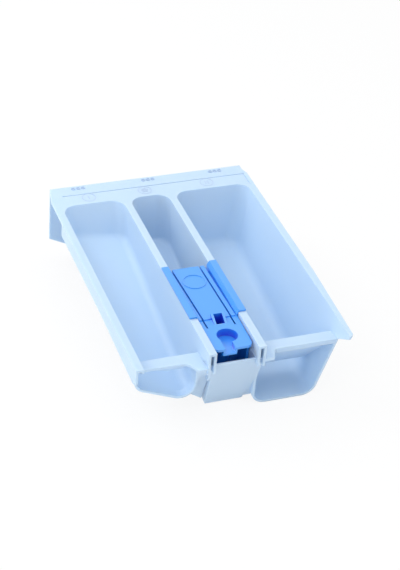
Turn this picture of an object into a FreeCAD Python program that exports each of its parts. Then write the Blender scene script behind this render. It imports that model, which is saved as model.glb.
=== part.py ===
"""Detergent dispenser drawer of a washing machine: a moulded three-compartment tray and its
removable softener siphon insert, in millimetres.

The tray is one thin-walled moulding. Three tubs hang from a shared rim: prewash on the left,
softener in the middle and main wash on the right, seen from the outlet end. The outlet end is at
low Y, the front flange with its hanging plate is at high Y, and Z is up.
"""
import FreeCAD, Part
import os

V = FreeCAD.Vector

# Driving dimensions of the tray
wall = 2.0
rim_thickness = 2.2
prewash_width = 56.8
softener_width = 36.3
main_width = 71.6
divider_width = 6.7
side_rim_width = 6.8
pocket_length = 239.0
corner_radius = 12.0

# Front flange and its hanging plate
flange_length = 31.0
flange_taper = 4.1
flange_taper_length = 22.0
flange_notch = 2.4
flange_notch_length = 14.0
front_plate_thickness = 2.2
front_plate_side_drop = 53.0
front_plate_chamfer = 44.0
groove_width = 1.4
groove_depth = 0.7
groove_from_front = 15.5
groove_end_gap = 12.0
groove_turn = 18.0

# Side rims and the guide lip under the left one
side_rim_overhang = 5.0
side_rim_end = 3.7
guide_lip_height = 13.5
guide_lip_length = 214.0
right_rim_taper = 3.3
right_rim_taper_length = 90.0
right_rim_corner = 3.0

# Leans of the tub walls, as sideways run for each millimetre of depth
prewash_left_lean = 0.03
prewash_right_lean = 0.06
softener_left_lean = 0.06
softener_right_lean = 0.03
main_left_lean = 0.01
main_right_lean = 0.25
prewash_front_lean = 0.60
softener_front_lean = 0.30
main_front_lean = 0.30
softener_rear_lean = 0.377

# Depths of the tub floors below the rim, at the front end and at the outlet end
floor_front_y = 220.0
prewash_front_left_depth = 24.0
prewash_front_right_depth = 29.0
prewash_outlet_left_depth = 34.0
prewash_outlet_right_depth = 60.0
softener_front_depth = 42.0
softener_outlet_depth = 73.0
main_front_depth = 54.0
main_outlet_depth = 73.0
prewash_fillet = 7.0
outlet_fillet = 11.0
steepest_floor = 0.8
prewash_valley_radius = 60.0
softener_fillet = 4.0
main_fillet = 11.0

# Outlet end: sills, inclined baffles, ledges, rear edges and the webs beside the softener tub
sill_depth = 14.0
sill_rear = 11.5
sill_width = 11.5
sill_thickness = 2.2
sill_lip = 4.5
baffle_thickness = 2.0
main_baffle_foot_y = 45.5
main_baffle_foot_depth = 56.0
prewash_baffle_foot_y = 22.5
prewash_baffle_foot_depth = 28.0
prewash_baffle_start = 6.0
prewash_baffle_rise = 24.0
ledge_rear_width = 8.0
prewash_ledge_width = 14.5
prewash_ledge_radius = 8.0
main_ledge_width = 12.6
main_ledge_radius = 2.0
rear_edge_lean = 0.10
divider_leg_depth = 20.5
softener_rear_top = 3.0
softener_rear_drop = 14.0
outlet_flank = 11.0
outlet_flank_lean = -0.15
web_thickness = 2.0
prewash_web_depth = 67.0
prewash_web_rise = 15.0
main_web_depth = 68.5
arch_recess = 4.0
arch_plate_depth = 36.0
arch_width = 8.3
arch_top_depth = 26.0

# Siphon standpipe in the softener tub
standpipe_y = 35.0
standpipe_diameter = 6.6
standpipe_bore = 3.6
standpipe_top_depth = 28.0

# Softener insert
insert_clearance = 0.4
insert_rear = 8.2
insert_step_y = 51.5
insert_front = 124.5
insert_skin = 2.2
insert_top_depth = 2.6
panel_step = 0.8
panel_rib_depth = 8.0
panel_rib_width = 1.4
skirt_depth = 40.0
skirt_rear = 18.0
block_right_taper = 1.2
block_corner = 5.0
wing_thickness = 1.7
wing_start = 49.5
wing_web = 0.9
wing_slope_run = 2.2
wing_slope_drop = 3.9
wing_slope_skin = 1.1
wing_seat_clearance = 0.3
slot_width = 1.5
slot_root = 38.5
left_slot_far = 1.7
left_slot_near = 4.8
right_slot_far = 27.1
right_slot_near = 29.2
strip_width = 3.6
channel_rear_drop = 1.2
channel_drop = 5.0
well_diameter = 17.8
well_depth = 7.4
well_y = 26.0
well_skin = 1.6
spout_width = 9.0
spout_offset = -3.4
spout_depth = 5.2
hood_rear = 40.5
hood_front = 51.0
hood_rise = 4.2
hood_wall = 2.0
fill_hole_width = 7.4
fill_hole_depth = 24.0
press_ring_y = 103.5
press_ring_offset = -2.0
press_ring_diameter = 21.0
press_ring_width = 1.4
press_ring_height = 0.5
siphon_diameter = 13.0
siphon_bore = 9.6
siphon_floor_gap = 4.0

# Places worked out from the driving dimensions
rim_height = main_outlet_depth + wall
prewash_left = 0.0
prewash_right = prewash_left + prewash_width
softener_left = prewash_right + divider_width
softener_right = softener_left + softener_width
softener_middle = (softener_left + softener_right) / 2
main_left = softener_right + divider_width
main_right = main_left + main_width
tray_left = prewash_left - side_rim_width
tray_right = main_right + side_rim_width
tray_rear = -side_rim_overhang
tray_front = pocket_length + flange_length
sill_front = sill_rear + sill_width
deep = rim_height + wall
main_edge_y = sill_rear + rear_edge_lean * (main_outlet_depth - sill_depth)
softener_foot_y = softener_rear_top + softener_rear_lean * (softener_outlet_depth - softener_rear_drop)
reach = 400.0
overcut = 30.0


def down(depth):
    """Height above the rest plane of a point this far below the rim."""
    return rim_height - depth


def block(x0, x1, y0, y1, z0, z1):
    """A box between two opposite corners."""
    return Part.makeBox(x1 - x0, y1 - y0, z1 - z0, V(x0, y0, z0))


def side_prism(points, x0, x1):
    """A solid whose outline is given by (y, z) points and runs from x0 to x1."""
    wire = Part.makePolygon([V(x0, y, z) for y, z in points + points[:1]])
    return Part.Face(wire).extrude(V(x1 - x0, 0, 0))


def rear_prism(points, y0, y1):
    """A solid whose outline is given by (x, z) points and runs from y0 to y1."""
    wire = Part.makePolygon([V(x, y0, z) for x, z in points + points[:1]])
    return Part.Face(wire).extrude(V(0, y1 - y0, 0))


def plate(points, z0, z1):
    """A flat plate whose outline is given by (x, y) points."""
    wire = Part.makePolygon([V(x, y, z0) for x, y in points + points[:1]])
    return Part.Face(wire).extrude(V(0, 0, z1 - z0))


def post(x, y, diameter, z0, z1):
    """An upright cylinder."""
    return Part.makeCylinder(diameter / 2, z1 - z0, V(x, y, z0))


def half_space(point, normal, grow):
    """A large box beyond a plane, on its normal's side, with the plane moved back by grow."""
    side = V(*normal).normalize()
    size = 2 * reach
    box = Part.makeBox(size, size, size, V(-size / 2, -size / 2, 0))
    box.Placement = FreeCAD.Placement(V(*point) - side * grow, FreeCAD.Rotation(V(0, 0, 1), side))
    return box


def leaning_walls(x0, x1, leans, grow):
    """The space between a tub's leaning walls, open to the rear, with its front corners rounded."""
    left_lean, right_lean, front_lean = leans
    space = block(tray_left - overcut, tray_right + overcut, -overcut, reach, -overcut, rim_height)
    space = space.common(half_space((x0, 0, rim_height), (1, 0, left_lean), grow))
    space = space.common(half_space((x1, 0, rim_height), (-1, 0, right_lean), grow))
    space = space.common(half_space((0, pocket_length, rim_height), (0, -1, front_lean), grow))
    upright = [e for e in space.Edges if e.BoundBox.ZLength > rim_height and e.BoundBox.YMin > 0]
    return space.makeFillet(corner_radius + grow, upright)


def floor_depth(front_depth, outlet_depth, outlet_y, y):
    """Depth of a straight floor line at y, from its depths at the front and at the outlet."""
    share = (y - outlet_y) / (floor_front_y - outlet_y)
    return outlet_depth + share * (front_depth - outlet_depth)


def plane_through(a, b, c):
    """A point and the upward normal of the plane through three points."""
    normal = (V(*b) - V(*a)).cross(V(*c) - V(*a))
    if normal.z < 0:
        normal = normal * -1
    return a, (normal.x, normal.y, normal.z)


def rounded_floor(space, radius):
    """Round the edges where a tub's floor meets its walls."""
    floors = [f for f in space.Faces
              if f.normalAt(0.5, 0.5).z < -steepest_floor and f.BoundBox.ZMin > 1 - overcut]
    edges = []
    for floor in floors:
        for edge in floor.Edges:
            known = any(edge.isSame(other) for other in edges)
            if edge.BoundBox.YMax > 1 - overcut and not known:
                edges.append(edge)
    return space.makeFillet(radius, edges)


def rear_keep(x0, x1):
    """What is left of a side tub in front of its sloping rear edge."""
    foot_y = sill_rear + rear_edge_lean * (deep - sill_depth)
    points = [(tray_rear, rim_height), (tray_rear, down(side_rim_end)), (sill_rear, down(sill_depth)),
              (foot_y, down(deep)), (reach, down(deep)), (reach, rim_height)]
    return side_prism(points, x0, x1)


prewash_leans = (prewash_left_lean, prewash_right_lean, prewash_front_lean)
softener_leans = (softener_left_lean, softener_right_lean, softener_front_lean)
main_leans = (main_left_lean, main_right_lean, main_front_lean)
outlet_leans = (prewash_left_lean, outlet_flank_lean, prewash_front_lean)


prewash_front_left = (prewash_left, floor_front_y, down(prewash_front_left_depth))
prewash_front_right = (prewash_right, floor_front_y, down(prewash_front_right_depth))
prewash_outlet_left = (prewash_left, sill_rear, down(prewash_outlet_left_depth))
prewash_outlet_right = (prewash_right, sill_rear, down(prewash_outlet_right_depth))


def prewash_tub(grow):
    """The prewash tub: its floor is two planes that meet in a shallow diagonal valley."""
    space = leaning_walls(prewash_left, prewash_right, prewash_leans, grow)
    for other in (prewash_front_right, prewash_outlet_left):
        point, normal = plane_through(prewash_front_left, prewash_outlet_right, other)
        space = space.common(half_space(point, normal, grow))
    valley = [e for e in space.Edges if e.BoundBox.ZMax < down(prewash_front_left_depth) + 2 * wall
              and e.BoundBox.YLength > floor_front_y / 2 and e.BoundBox.XLength > prewash_width / 2]
    space = space.makeFillet(prewash_valley_radius + grow, valley)
    return rounded_floor(space, prewash_fillet + grow)


def prewash_outlet(grow):
    """The prewash outlet: a short narrow stretch on the rear one of the tub's two floor planes."""
    space = leaning_walls(prewash_left, prewash_right - outlet_flank, outlet_leans, grow)
    space = space.common(block(tray_left, tray_right, -overcut, 2 * sill_front, -overcut, rim_height))
    point, normal = plane_through(prewash_front_left, prewash_outlet_right, prewash_outlet_left)
    space = space.common(half_space(point, normal, grow))
    along = [e for e in space.Edges if e.BoundBox.YLength > sill_front and e.BoundBox.ZMax < down(sill_depth)]
    return space.makeFillet(outlet_fillet + grow, along)


def prewash_space(grow):
    """The prewash tub and its outlet, which leaves room for the web beside the softener tub."""
    low = (tray_left - overcut, prewash_right + overcut)
    front = block(*low, sill_front - grow, reach, -overcut, rim_height)
    rear = block(*low, -overcut, sill_front - grow, -overcut, rim_height)
    above = block(*low, -overcut, sill_front, down(sill_depth), rim_height)
    tub = prewash_tub(grow)
    return tub.common(front).fuse([prewash_outlet(grow).common(rear), tub.common(above)])


def softener_space(grow):
    """The softener tub, closed to the rear by its own leaning wall."""
    space = leaning_walls(softener_left, softener_right, softener_leans, grow)
    rear_wall = (0, softener_rear_top + wall, down(softener_rear_drop))
    space = space.common(half_space(rear_wall, (0, 1, softener_rear_lean), grow))
    rise = (softener_outlet_depth - softener_front_depth) / (floor_front_y - softener_foot_y)
    floor = (0, softener_foot_y, down(softener_outlet_depth))
    space = space.common(half_space(floor, (0, -rise, 1), grow))
    return rounded_floor(space, softener_fillet + grow)


def main_space(grow):
    """The main wash tub."""
    space = leaning_walls(main_left, main_right, main_leans, grow)
    rise = (main_outlet_depth - main_front_depth) / (floor_front_y - main_edge_y)
    floor = (0, main_edge_y, down(main_outlet_depth))
    space = space.common(half_space(floor, (0, -rise, 1), grow))
    return rounded_floor(space, main_fillet + grow)


def rim_plate():
    """The shared rim: side rims, dividers and the front flange in one flat plate."""
    outline = [
        (tray_left, tray_rear), (tray_left, tray_front - flange_taper_length),
        (tray_left + flange_taper, tray_front), (tray_right - flange_notch, tray_front),
        (tray_right - flange_notch, tray_front - flange_notch_length / 2),
        (tray_right, tray_front - flange_notch_length), (tray_right, right_rim_taper_length),
        (tray_right - right_rim_taper, tray_rear),
        (main_right, tray_rear), (main_right, 0), (prewash_left, 0), (prewash_left, tray_rear),
    ]
    rim = plate(outline, down(rim_thickness), rim_height)
    tip = V(tray_right - right_rim_taper, tray_rear, down(rim_thickness / 2))
    corner = [e for e in rim.Edges if e.BoundBox.Center.distanceToPoint(tip) < wall / 2]
    return rim.makeFillet(right_rim_corner, corner)


def divider(x0):
    """One divider: an inverted U whose slot is open at the outlet end."""
    outer = block(x0, x0 + divider_width, 0, pocket_length, down(divider_leg_depth), rim_height)
    slot = block(x0 + wall, x0 + divider_width - wall, -overcut, reach, -overcut, down(rim_thickness))
    return outer.cut(slot)


def front_plate():
    """The hanging plate under the front flange, with its lower corners cut off."""
    left = tray_left + flange_taper
    right = tray_right - flange_notch
    points = [
        (left, rim_height), (left, down(front_plate_side_drop)), (left + front_plate_chamfer, 0),
        (right - front_plate_chamfer, 0), (right, down(front_plate_side_drop)), (right, rim_height),
    ]
    return rear_prism(points, tray_front - front_plate_thickness, tray_front)


def baffle(x0, x1, foot_y, foot_depth):
    """An inclined plate from just behind the sill's lip down and forward."""
    start = sill_rear + wall / 2
    run = foot_y - start
    drop = foot_depth - sill_depth
    width = baffle_thickness * (run ** 2 + drop ** 2) ** 0.5 / drop
    points = [(start, down(sill_depth)), (foot_y, down(foot_depth)),
              (foot_y + width, down(foot_depth)), (start + width, down(sill_depth))]
    return side_prism(points, x0, x1)


def sill(edge, side, far_x, ledge_width, ledge_radius):
    """A sill and the ledge beside its divider as one plate, with their inner corner rounded."""
    outline = [
        (far_x, sill_front), (far_x, sill_rear), (edge + side * ledge_width, sill_rear),
        (edge + side * ledge_rear_width, 0), (edge - side * wall, 0), (edge - side * wall, sill_front),
    ]
    shape = plate(outline, down(sill_depth + sill_thickness), down(sill_depth))
    corner = V(edge + side * ledge_width, sill_rear, down(sill_depth + sill_thickness / 2))
    edges = [e for e in shape.Edges if e.BoundBox.Center.distanceToPoint(corner) < wall / 2]
    return shape.makeFillet(ledge_radius, edges)


def rear_web(x0, x1, setback, thickness, depth):
    """A web beside the softener tub, set back from that tub's leaning rear wall."""
    head_y = softener_rear_top + setback
    foot_y = head_y + softener_rear_lean * (depth - softener_rear_drop)
    points = [(head_y, down(sill_depth)), (foot_y, down(depth)),
              (foot_y + thickness, down(depth)), (head_y + thickness, down(sill_depth))]
    return side_prism(points, x0, x1)


def prewash_web():
    """The web between the prewash outlet and the softener tub, with an arched plate before it."""
    x0 = prewash_right - outlet_flank
    middle = prewash_right
    radius = arch_width / 2
    centre = down(arch_top_depth + radius)
    arch = Part.makeCylinder(radius, overcut, V(middle, 0, centre), V(0, 1, 0))
    below = block(middle - radius, middle + radius, 0, overcut, -overcut, centre)
    arched = rear_web(x0, softener_left, 0, arch_recess + web_thickness, arch_plate_depth).cut([arch, below])
    back = rear_web(x0, softener_left, arch_recess, web_thickness, prewash_web_depth)
    sloping_foot = rear_prism([(x0, down(sill_depth)), (x0, down(prewash_web_depth - prewash_web_rise)),
                               (softener_left, down(prewash_web_depth)), (softener_left, down(sill_depth))],
                              0, reach)
    return arched.fuse(back.common(sloping_foot))


def main_web():
    """The web that closes the gap between the softener tub and the main wash outlet."""
    return rear_web(softener_right, main_left, 0, web_thickness, main_web_depth)


def groove():
    """The fine line pressed into the front flange, turning at its right end."""
    y = tray_front - groove_from_front
    x0 = tray_left + groove_end_gap
    x1 = tray_right - side_rim_width / 2
    low = down(groove_depth)
    along = block(x0, x1, y, y + groove_width, low, down(-wall))
    turn = block(x1 - groove_width, x1, y - groove_turn, y + groove_width, low, down(-wall))
    return along.fuse(turn)


def wing_slope(edge, side, offset):
    """Top and foot of the sloping inner face of a wing beside a tub edge, moved outwards by offset."""
    lean_depth = insert_top_depth + panel_step + insert_skin
    lean = softener_left_lean if side > 0 else softener_right_lean
    foot_x = edge + side * (insert_clearance + lean * lean_depth + wing_web)
    length = (wing_slope_run ** 2 + wing_slope_drop ** 2) ** 0.5
    out = offset * wing_slope_drop / length
    sink = offset * wing_slope_run / length
    foot_z = down(wing_slope_drop - wing_thickness) - sink
    return (foot_x - side * (wing_slope_run + out), foot_z + wing_slope_drop), (foot_x - side * out, foot_z)


def wing_seat(edge, side):
    """The chamfer on a divider's inner edge that a wing of the insert sits over."""
    head, foot = wing_slope(edge, side, wing_slope_skin + wing_seat_clearance)
    run = (foot[0] - head[0]) / (head[1] - foot[1])
    low_x = foot[0] + run * wall
    points = [head, (low_x, foot[1] - wall), (low_x + side * wall, foot[1] - wall),
              (low_x + side * wall, head[1])]
    return rear_prism(points, wing_start - wing_seat_clearance, insert_front + wing_seat_clearance)


def make_tray():
    shell = rim_plate().fuse([
        prewash_space(wall).common(rear_keep(tray_left, prewash_right + wall)),
        softener_space(wall),
        main_space(wall).common(rear_keep(main_left - wall, tray_right)),
        divider(prewash_right), divider(softener_right), front_plate(), prewash_web(), main_web(),
        block(tray_left, tray_left + wall, tray_rear, guide_lip_length, down(guide_lip_height), rim_height),
    ])
    divider_ends = block(prewash_right - divider_width, main_left + divider_width, -overcut, 0,
                         down(divider_leg_depth), down(-wall))
    softener_gate = block(softener_left, softener_right, -overcut, sill_front,
                          down(softener_rear_drop), down(-wall))
    shell = shell.cut([prewash_space(0), softener_space(0), main_space(0), divider_ends, softener_gate,
                       groove(), wing_seat(softener_left, 1), wing_seat(softener_right, -1)])

    half = wall / 2
    prewash_zone = leaning_walls(prewash_left, prewash_right, prewash_leans, half)
    outlet_zone = leaning_walls(prewash_left, prewash_right - outlet_flank, outlet_leans, half)
    main_zone = leaning_walls(main_left, main_right, main_leans, half)
    lip_start = main_left + main_ledge_width + main_ledge_radius
    lip = block(lip_start, tray_right, sill_rear, sill_rear + wall, down(sill_depth + sill_lip),
                down(sill_depth))
    wedge = rear_prism([(prewash_baffle_start, down(sill_depth)),
                        (prewash_baffle_start + prewash_baffle_rise, down(prewash_baffle_foot_depth)),
                        (prewash_right, down(prewash_baffle_foot_depth)),
                        (prewash_right, down(sill_depth))], -overcut, reach)
    inside = [
        sill(prewash_right, -1, tray_left, prewash_ledge_width, prewash_ledge_radius).common(prewash_zone),
        sill(main_left, 1, tray_right, main_ledge_width, main_ledge_radius).common(main_zone),
        lip.common(main_zone),
        baffle(tray_left, tray_right, main_baffle_foot_y, main_baffle_foot_depth).common(main_zone),
        baffle(tray_left, tray_right, prewash_baffle_foot_y, prewash_baffle_foot_depth).common(
            outlet_zone).common(wedge),
    ]
    floor_z = down(floor_depth(softener_front_depth, softener_outlet_depth, softener_foot_y, standpipe_y))
    pipe = post(softener_middle, standpipe_y, standpipe_diameter, floor_z - wall, down(standpipe_top_depth))
    bore = post(softener_middle, standpipe_y, standpipe_bore, -overcut, rim_height)
    return shell.fuse(inside + [pipe]).cut(bore).removeSplitter()


def make_insert():
    panel_top = down(insert_top_depth)
    top = panel_top - panel_step
    wing_top = down(-wing_thickness)
    lean_depth = insert_top_depth + panel_step + insert_skin
    left = softener_left + insert_clearance + softener_left_lean * lean_depth
    right = softener_right - insert_clearance - softener_right_lean * lean_depth
    slot_a = [softener_left + left_slot_far, softener_left + left_slot_near]
    slot_b = [softener_left + right_slot_far, softener_left + right_slot_near]

    # The near block: a top plate with skirts that follow the tub's walls
    outline = [(left, insert_rear), (right - block_right_taper, insert_rear), (right, insert_step_y),
               (left, insert_step_y)]
    cover = plate(outline, top - insert_skin, top)
    tips = [V(x, insert_rear, top - insert_skin / 2) for x in (left, right - block_right_taper)]
    edges = [e for e in cover.Edges if min(e.BoundBox.Center.distanceToPoint(t) for t in tips) < wall / 2]
    cover = cover.makeFillet(block_corner, edges)
    under = top - insert_skin / 2
    room = block(tray_left, tray_right, skirt_rear, slot_root, down(skirt_depth), under)
    inner_tub = softener_space(-insert_clearance)
    skirts = inner_tub.cut(softener_space(-insert_clearance - insert_skin)).common(room)
    end_wall = inner_tub.common(
        block(tray_left, tray_right, slot_root - insert_skin, slot_root, down(skirt_depth), under))

    # The press panel between two slots, and the strips beside it
    def strip(starts, ends, z0, z1):
        points = [(starts[1], slot_root), (ends[1], slot_root), (ends[0], insert_front),
                  (starts[0], insert_front)]
        return plate(points, z0, z1)

    def shifted(line, by):
        return [x + by for x in line]

    slots = [strip(line, shifted(line, slot_width), -overcut, down(-overcut)) for line in (slot_a, slot_b)]
    ahead = block(left, right, insert_step_y - wall, insert_front, -overcut, rim_height)
    low = panel_top - panel_rib_depth
    edge_a = shifted(slot_a, slot_width)
    edge_b = shifted(slot_b, slot_width)
    panel = strip(edge_a, slot_b, panel_top - insert_skin, panel_top).common(ahead)
    tongue = strip(edge_a, slot_b, top - insert_skin, top)
    ribs = [strip(edge_a, shifted(edge_a, panel_rib_width), low, top),
            strip(shifted(slot_b, -panel_rib_width), slot_b, low, top)]
    arms = [strip([left, left], slot_a, low, panel_top).common(ahead),
            strip(edge_b, shifted(edge_b, strip_width), low, panel_top).common(ahead)]
    ramp = side_prism([(insert_step_y - wall, panel_top - channel_rear_drop),
                       (insert_front, panel_top - channel_drop),
                       (insert_front, low - wall), (insert_step_y - wall, low - wall)],
                      edge_b[0] + strip_width / 2, right)
    ramp = ramp.cut(slots)

    # Wings that lie on the dividers, each with a web down inside the tub
    def wing(x_out, edge, side):
        x_wall = left if side > 0 else right
        head, foot = wing_slope(edge, side, 0)
        under_head, under_foot = wing_slope(edge, side, wing_slope_skin)
        share = (under_head[1] - rim_height) / wing_slope_drop
        seat_x = under_head[0] + share * (under_foot[0] - under_head[0])
        points = [(x_out, rim_height), (seat_x, rim_height), under_foot, (x_wall, under_foot[1]),
                  (x_wall, low), (foot[0], low), foot, head, (x_out, wing_top)]
        return rear_prism(points, wing_start, insert_front)

    wings = [wing(prewash_right, softener_left, 1), wing(main_left, softener_right, -1)]

    # Finger well with its spout, the hooded fill hole, the press mark and the siphon cap
    well_floor = top - well_depth
    well = post(softener_middle, well_y, well_diameter, well_floor, down(-overcut))
    cup = post(softener_middle, well_y, well_diameter + 2 * well_skin, well_floor - well_skin, top)
    spout_floor = top - spout_depth
    spout_x0 = softener_middle + spout_offset - spout_width / 2
    spout_x1 = spout_x0 + spout_width
    spout = block(spout_x0 - well_skin, spout_x1 + well_skin, insert_rear, well_y,
                  spout_floor - well_skin, top)
    notch = block(spout_x0, spout_x1, 0, well_y, spout_floor, down(-overcut))
    half_hole = fill_hole_width / 2
    half_hood = half_hole + hood_wall
    hood = side_prism([(hood_rear, top), (hood_front, top + hood_rise),
                       (hood_front + hood_wall, top + hood_rise),
                       (hood_front + hood_wall, top - fill_hole_depth), (hood_rear, top - fill_hole_depth)],
                      softener_middle - half_hood, softener_middle + half_hood)
    hole = block(softener_middle - half_hole, softener_middle + half_hole,
                 hood_rear + hood_wall / 2, hood_front, -overcut, down(-overcut))
    ring_x = softener_middle + press_ring_offset
    ring = post(ring_x, press_ring_y, press_ring_diameter, panel_top, panel_top + press_ring_height)
    ring = ring.cut(post(ring_x, press_ring_y, press_ring_diameter - 2 * press_ring_width, 0, rim_height))
    floor_z = down(floor_depth(softener_front_depth, softener_outlet_depth, softener_foot_y, standpipe_y))
    siphon = post(softener_middle, standpipe_y, siphon_diameter, floor_z + siphon_floor_gap,
                  top - insert_skin)
    bore = post(softener_middle, standpipe_y, siphon_bore, -overcut, well_floor - well_skin - insert_skin)

    body = cover.fuse([skirts, end_wall]).cut(slots)
    body = body.fuse([panel, tongue, ramp, cup, spout, hood, siphon] + ribs + arms + wings)
    return body.cut([well, notch, hole, bore]).fuse(ring).removeSplitter()


def centred(shape):
    """Move a shape so that the origin is under the middle of the tray."""
    shape.translate(V(-(tray_left + tray_right) / 2, -(tray_rear + tray_front) / 2, 0))
    return shape


os.makedirs("parts", exist_ok=True)
parts = {"tray": make_tray(), "softener_insert": make_insert()}
for name, shape in parts.items():
    centred(shape).exportStep("parts/" + name + ".step")
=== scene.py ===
"""Looks of the detergent dispenser drawer: plastics, raised marks, lights and the camera."""
import math

import bmesh
import bpy
from mathutils import Matrix, Vector


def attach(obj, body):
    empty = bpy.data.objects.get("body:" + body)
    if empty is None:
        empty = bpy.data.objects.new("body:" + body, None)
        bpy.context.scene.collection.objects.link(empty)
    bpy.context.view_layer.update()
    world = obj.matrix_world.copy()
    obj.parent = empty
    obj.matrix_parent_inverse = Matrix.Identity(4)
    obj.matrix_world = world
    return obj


MM = 0.001
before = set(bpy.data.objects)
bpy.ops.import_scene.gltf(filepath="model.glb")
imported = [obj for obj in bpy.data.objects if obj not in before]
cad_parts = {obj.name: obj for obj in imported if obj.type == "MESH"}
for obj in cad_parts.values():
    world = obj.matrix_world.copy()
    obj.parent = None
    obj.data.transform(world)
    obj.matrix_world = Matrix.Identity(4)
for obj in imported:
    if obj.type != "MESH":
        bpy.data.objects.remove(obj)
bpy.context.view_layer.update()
scene = bpy.context.scene
scene.view_settings.view_transform = "Standard"

# Places on the drawer, in millimetres, in the part's frame
RIM_Z = 75.0
RING_Y = 116.2
RING_X = (-60.6, -7.4, 53.0)
CURL_Y = 133.0
CURL_X = (-66.0, 1.0, 67.0)
PAINTED_SHADE_MIDDLE = (-7.4, -98.5, 69.0)  # between the insert's finger well and its fill hole
PAINTED_SHADE_HALF = (13.0, 24.0, 12.0)

# The raised marks, in millimetres and degrees
SUNK = 0.05  # how far a mark reaches down into the flange, so that no gap shows
RING_HEIGHT = 0.2
RING_INNER, RING_OUTER = 5.8, 6.4
RING_STARTS, RING_SWEEP, RING_STEPS = (2, 182), 176, 20  # two halves
BAR_WIDTH, BAR_LENGTH = 1.0, 5.0
BAR_OFFSET = 1.3
PETALS = 5
PETAL_OFFSET = 2.2
PETAL_INNER, PETAL_OUTER = 0.7, 1.3
PETAL_SWEEP, PETAL_STEPS = 350, 12
CURL_HEIGHT = 0.35
CURL_INNER, CURL_OUTER = 0.9, 2.0
CURL_START, CURL_END, CURL_STEPS = 40, 330, 14
CURL_PITCH = 4.6

# Polypropylene as it comes from the mould
RESIN_IOR = 1.49
FLOW_MM = 45  # length of the faint streaks where the melt ran
GRAIN_MM = 0.9  # the real satin grain is near 0.1 mm, and is drawn coarser so that it shows
GRAIN_STRENGTH = 0.25
SMOOTHER, ROUGHER = 0.06, 0.08  # how far the grain moves the roughness
POLISH_ROUGHNESS = 0.3
EDGE_SAMPLES = 4

# Painted shade on the walls of the insert's recesses
PAINTED_SHADE_REACH_MM = 16.0
PAINTED_SHADE_SHUT, PAINTED_SHADE_OPEN = 0.4, 0.7  # share of open sky at which a wall is deepest and is plain
WALL_TILT, FLOOR_TILT = 0.4, 0.8  # upward part of the normal on a wall and on a floor
PAINTED_SHADE_FADE = (0.02, 0.12)  # where the deeper colour fades in, from the outside inwards
PAINTED_SHADE_SAMPLES = 8


def linear(code):
    """A linear colour from an sRGB hex code such as "c8e6fa"."""
    parts = [int(code[i:i + 2], 16) / 255 for i in (0, 2, 4)]
    return tuple(c / 12.92 if c <= 0.04045 else ((c + 0.055) / 1.055) ** 2.4
                 for c in parts) + (1.0,)


def add(tree, kind, links=(), settings=(), **values):
    """Add a shader node: its own settings, its plain sockets by name, and links into the rest."""
    node = tree.nodes.new(kind)
    for name, value in dict(settings).items():
        setattr(node, name, value)
    for name, value in values.items():
        node.inputs[name.replace("_", " ")].default_value = value
    for socket, source in dict(links).items():
        tree.links.new(source, node.inputs[socket])
    return node


def moulded_plastic(name, pale, deep, roughness, bump_mm, edge_mm, sheen, polish, glow, glow_mm):
    """Injection-moulded polypropylene: flow streaks, satin grain and softly rounded edges."""
    material = bpy.data.materials.new(name)
    material.use_nodes = True
    tree = material.node_tree
    shader = tree.nodes["Principled BSDF"]
    place = add(tree, "ShaderNodeTexCoord")
    flow = add(tree, "ShaderNodeTexNoise", {"Vector": place.outputs["Object"]},
               Scale=1 / (FLOW_MM * MM), Detail=3.0, Roughness=0.5)
    tint = add(tree, "ShaderNodeMix", {"Factor": flow.outputs["Fac"]}, {"data_type": "RGBA"},
               A=linear(pale), B=linear(deep))
    grain = add(tree, "ShaderNodeTexNoise", {"Vector": place.outputs["Object"]},
                Scale=1 / (GRAIN_MM * MM), Detail=4.0)
    satin = add(tree, "ShaderNodeMapRange", {"Value": grain.outputs["Fac"]},
                To_Min=roughness - SMOOTHER, To_Max=roughness + ROUGHER)
    edge = add(tree, "ShaderNodeBevel", settings={"samples": EDGE_SAMPLES}, Radius=edge_mm * MM)
    bump = add(tree, "ShaderNodeBump",
               {"Height": grain.outputs["Fac"], "Normal": edge.outputs["Normal"]},
               Strength=GRAIN_STRENGTH, Distance=bump_mm * MM)
    tree.links.new(tint.outputs["Result"], shader.inputs["Base Color"])
    tree.links.new(satin.outputs["Result"], shader.inputs["Roughness"])
    tree.links.new(bump.outputs["Normal"], shader.inputs["Normal"])
    shader.inputs["IOR"].default_value = RESIN_IOR
    shader.inputs["Specular IOR Level"].default_value = sheen
    shader.inputs["Coat Weight"].default_value = polish
    shader.inputs["Coat Roughness"].default_value = POLISH_ROUGHNESS
    shader.inputs["Subsurface Weight"].default_value = glow
    shader.inputs["Subsurface Radius"].default_value = (1.0, 1.0, 1.0)
    shader.inputs["Subsurface Scale"].default_value = glow_mm * MM
    return material


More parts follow.
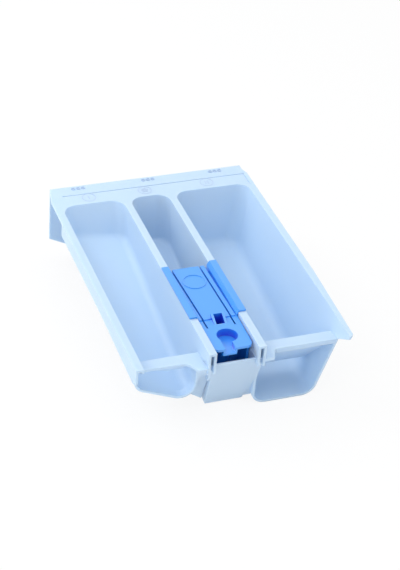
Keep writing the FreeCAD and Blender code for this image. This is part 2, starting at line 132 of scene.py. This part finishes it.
def paint_recess_shade(material, deep):
    """Paint shade on the upright walls of the finger well and the fill hole: a deeper blue by how
    closed in they are.
    """
    tree = material.node_tree
    base = tree.nodes["Principled BSDF"].inputs["Base Color"]
    open_colour = base.links[0].from_socket
    place = add(tree, "ShaderNodeTexCoord")
    # Painted shade: ambient occlusion finds the closed-in walls, which get the deeper blue
    recess = add(tree, "ShaderNodeAmbientOcclusion",
                 settings={"only_local": True, "samples": PAINTED_SHADE_SAMPLES},
                 Distance=PAINTED_SHADE_REACH_MM * MM)
    openness = add(tree, "ShaderNodeMapRange", {"Value": recess.outputs["AO"]},
                   From_Min=PAINTED_SHADE_SHUT, From_Max=PAINTED_SHADE_OPEN)
    facing = add(tree, "ShaderNodeSeparateXYZ", {"Vector": place.outputs["Normal"]})
    upward = add(tree, "ShaderNodeMapRange", {"Value": facing.outputs["Z"]},
                 From_Min=WALL_TILT, From_Max=FLOOR_TILT)
    near_block = add(tree, "ShaderNodeMapping", {"Vector": place.outputs["Object"]},
                     {"vector_type": "TEXTURE"},
                     Location=Vector(PAINTED_SHADE_MIDDLE) * MM, Scale=Vector(PAINTED_SHADE_HALF) * MM)
    inside = add(tree, "ShaderNodeTexGradient", {"Vector": near_block.outputs["Vector"]},
                 {"gradient_type": "SPHERICAL"})
    elsewhere = add(tree, "ShaderNodeMapRange", {"Value": inside.outputs["Fac"]},
                    From_Min=PAINTED_SHADE_FADE[0], From_Max=PAINTED_SHADE_FADE[1], To_Min=1.0, To_Max=0.0)
    lit = add(tree, "ShaderNodeMath",
              {0: openness.outputs["Result"], 1: upward.outputs["Result"]},
              {"operation": "MAXIMUM"})
    plain = add(tree, "ShaderNodeMath", {0: lit.outputs[0], 1: elsewhere.outputs["Result"]},
                {"operation": "MAXIMUM"})
    body = add(tree, "ShaderNodeMix", {"Factor": plain.outputs[0], "B": open_colour},
               {"data_type": "RGBA"}, A=linear(deep))
    tree.links.new(body.outputs["Result"], base)


# Tray: polypropylene from a satin mould. The skin spreads the light softly, and the thin milky
# walls let some of it through, so that the shaded tubs stay pale and cool.
tray_plastic = moulded_plastic(
    "polypropylene_pale_blue_satin", "c3daf1", "bed6f0", roughness=0.42, bump_mm=0.02,
    edge_mm=0.3, sheen=0.3, polish=0.0, glow=0.6, glow_mm=3.0)
# Insert: polypropylene with a strong pigment from a smoother mould. A white sheen lies over the
# blue on the open faces. The walls of its recesses carry painted shade: a deeper blue, set by how
# closed in they are.
insert_plastic = moulded_plastic(
    "polypropylene_bright_blue_satin", "2098f5", "1c94f3", roughness=0.36, bump_mm=0.015,
    edge_mm=0.3, sheen=1.0, polish=1.0, glow=0.0, glow_mm=0.8)
# Painted shade: the insert's recess walls are coloured deep blue 0f40dd where they are closed in
paint_recess_shade(insert_plastic, "0f40dd")
# Curls on the flange: the tray's resin from a roughened part of the mould, which looks duller.
# Their colour is painted a little darker than the flange around it, as painted shade of the relief.
curl_painted_shade_plastic = moulded_plastic(
    "polypropylene_pale_blue_pressed_painted_shade", "a8c1e2", "a3bde0", roughness=0.5, bump_mm=0.02,
    edge_mm=0.2, sheen=0.4, polish=0.0, glow=0.0, glow_mm=1.0)
# Ring signs: the tray's resin, moulded low and smooth, with a colour painted a little darker than
# the flange as painted shade, so that it shows as a thin faint outline.
ring_painted_shade_plastic = moulded_plastic(
    "polypropylene_pale_blue_smooth_painted_shade", "bcd1ec", "b7cdeb", roughness=0.42, bump_mm=0.02,
    edge_mm=0.2, sheen=0.35, polish=0.0, glow=0.0, glow_mm=1.0)
for node, material in (("tray", tray_plastic), ("softener_insert", insert_plastic)):
    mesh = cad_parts[node].data
    mesh.materials.clear()
    mesh.materials.append(material)


def raised(name, outlines, height, material):
    """One piece of raised marks on the flange: closed outlines in plan, all of one height."""
    shape = bmesh.new()
    base = (RIM_Z - SUNK) * MM
    for outline in outlines:
        loop = [shape.verts.new((x * MM, y * MM, base)) for x, y in outline]
        face = shape.faces.new(loop)
        if face.normal.z < 0:
            face.normal_flip()
        lifted = bmesh.ops.extrude_face_region(shape, geom=[face])
        for v in lifted["geom"]:
            if isinstance(v, bmesh.types.BMVert):
                v.co.z += (height + SUNK) * MM
    bmesh.ops.recalc_face_normals(shape, faces=shape.faces)
    mesh = bpy.data.meshes.new(name)
    shape.to_mesh(mesh)
    shape.free()
    piece = bpy.data.objects.new(name, mesh)
    scene.collection.objects.link(piece)
    mesh.materials.append(material)
    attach(piece, "tray")


def arc_band(x, y, inner, outer, start, end, steps):
    """Outline of a flat band along an arc, angles in degrees."""
    turns = [math.radians(start + (end - start) * i / steps) for i in range(steps + 1)]
    out = [(x + outer * math.cos(t), y + outer * math.sin(t)) for t in turns]
    back = [(x + inner * math.cos(t), y + inner * math.sin(t)) for t in reversed(turns)]
    return out + back


def bar(x):
    """Outline of a straight bar inside a ring."""
    left, right = x - BAR_WIDTH / 2, x + BAR_WIDTH / 2
    near, far = RING_Y - BAR_LENGTH / 2, RING_Y + BAR_LENGTH / 2
    return [(left, near), (right, near), (right, far), (left, far)]


def petal(x, turn):
    """Outline of one small open circle of the flower inside a ring."""
    return arc_band(x + PETAL_OFFSET * math.cos(turn), RING_Y + PETAL_OFFSET * math.sin(turn),
                    PETAL_INNER, PETAL_OUTER, 0, PETAL_SWEEP, PETAL_STEPS)


prewash_x, softener_x, main_x = RING_X
signs = {
    "prewash": (prewash_x, [bar(prewash_x)]),
    "softener": (softener_x, [petal(softener_x, math.radians(90 + 360 // PETALS * i))
                              for i in range(PETALS)]),
    "main_wash": (main_x, [bar(main_x - BAR_OFFSET), bar(main_x + BAR_OFFSET)]),
}
for tub, (x, strokes) in signs.items():
    halves = [arc_band(x, RING_Y, RING_INNER, RING_OUTER, start, start + RING_SWEEP, RING_STEPS)
              for start in RING_STARTS]
    raised("ring_mark_" + tub, halves + strokes, RING_HEIGHT, ring_painted_shade_plastic)
for side, x in zip(("left", "middle", "right"), CURL_X):
    curls = [arc_band(x + step, CURL_Y, CURL_INNER, CURL_OUTER, CURL_START, CURL_END,
                      CURL_STEPS)
             for step in (-CURL_PITCH, 0.0, CURL_PITCH)]
    raised("curl_mark_" + side, curls, CURL_HEIGHT, curl_painted_shade_plastic)


# Studio: matte white paper under the drawer, a dim white room and soft boxes
TABLE_MM = 6000
PAPER_ROUGHNESS = 0.9
PAPER_WHITE = 0.88  # share of plain white that the eye sees on the paper; the rest keeps the shadow
ROOM_LIGHT = 0.62
LIT_POINT = (0, 0, 40)
SOFT_BOXES = {  # place and size in millimetres, watts
    "soft_box_over": ((0, 0, 1300), 900, 3.5),
    "soft_box_back_left": ((-700, 700, 900), 800, 7),
    "soft_box_front_left": ((-800, -600, 800), 800, 2),
    "soft_box_front_right": ((800, -600, 800), 800, 1.5),
    "soft_box_low_left": ((-1100, -700, 160), 500, 2),
}


def seen_directly(tree):
    """One for the camera, glossy and transmission rays that see plain white, else nought."""
    path = add(tree, "ShaderNodeLightPath")
    either = add(tree, "ShaderNodeMath",
                 {0: path.outputs["Is Camera Ray"], 1: path.outputs["Is Glossy Ray"]},
                 {"operation": "MAXIMUM"})
    seen = add(tree, "ShaderNodeMath",
               {0: either.outputs[0], 1: path.outputs["Is Transmission Ray"]},
               {"operation": "MAXIMUM"})
    return seen.outputs[0]


bpy.ops.mesh.primitive_plane_add(size=TABLE_MM * MM, location=(0, 0, 0))
table = bpy.context.object
table.name = "table"
# Table: uncoated white paper, which scatters light evenly and shows no reflection.
paper = bpy.data.materials.new("matte_white_paper")
paper.use_nodes = True
paper_tree = paper.node_tree
sheet = paper_tree.nodes["Principled BSDF"]
sheet.inputs["Base Color"].default_value = linear("f6f7f8")
sheet.inputs["Roughness"].default_value = PAPER_ROUGHNESS
white = add(paper_tree, "ShaderNodeEmission", Color=(1, 1, 1, 1), Strength=1.0)
share = add(paper_tree, "ShaderNodeMath", {0: seen_directly(paper_tree)},
            {"operation": "MULTIPLY"})
share.inputs[1].default_value = PAPER_WHITE
cover = add(paper_tree, "ShaderNodeMixShader",
            {"Fac": share.outputs[0], 1: sheet.outputs[0], 2: white.outputs[0]})
paper_tree.links.new(cover.outputs[0], paper_tree.nodes["Material Output"].inputs["Surface"])
table.data.materials.append(paper)

world = bpy.data.worlds.new("white_studio")
scene.world = world
world.use_nodes = True
room = world.node_tree.nodes["Background"]
room.inputs["Color"].default_value = (1, 1, 1, 1)
strength = add(world.node_tree, "ShaderNodeMapRange", {"Value": seen_directly(world.node_tree)},
               To_Min=ROOM_LIGHT, To_Max=1.0)
world.node_tree.links.new(strength.outputs["Result"], room.inputs["Strength"])

for name, (place_mm, size_mm, watts) in SOFT_BOXES.items():
    light = bpy.data.lights.new(name, "AREA")
    light.size = size_mm * MM
    light.energy = watts
    lamp = bpy.data.objects.new(name, light)
    scene.collection.objects.link(lamp)
    here = Vector(place_mm) * MM
    lamp.location = here
    lamp.rotation_euler = (Vector(LIT_POINT) * MM - here).to_track_quat("-Z", "Y").to_euler()

# Camera at the photograph's viewing angle, in degrees, millimetres and pixels of a 400 x 570 image
AZIMUTH, ELEVATION, ROLL = (math.radians(v) for v in (-21.93, 35.23, 4.58))
CAMERA_PLACE = (-450.75, -1139.2, 913.0)
SENSOR_MM = 36.0
FOCAL_PX, IMAGE_HEIGHT_PX = 1709, 570
FAR_CLIP = 20  # metres
ahead = Vector((-math.sin(AZIMUTH) * math.cos(ELEVATION), math.cos(AZIMUTH) * math.cos(ELEVATION),
                -math.sin(ELEVATION)))
level = Vector((math.cos(AZIMUTH), math.sin(AZIMUTH), 0))
below = ahead.cross(level)
cam_right = level * math.cos(ROLL) - below * math.sin(ROLL)
cam_down = level * math.sin(ROLL) + below * math.cos(ROLL)
lens = bpy.data.cameras.new("camera")
lens.sensor_fit = "VERTICAL"
lens.sensor_height = SENSOR_MM
lens.lens = SENSOR_MM * FOCAL_PX / IMAGE_HEIGHT_PX
lens.clip_end = FAR_CLIP
camera = bpy.data.objects.new("camera", lens)
scene.collection.objects.link(camera)
turn = Matrix((cam_right, -cam_down, -ahead)).transposed().to_4x4()
camera.matrix_world = Matrix.Translation(Vector(CAMERA_PLACE) * MM) @ turn
scene.camera = camera
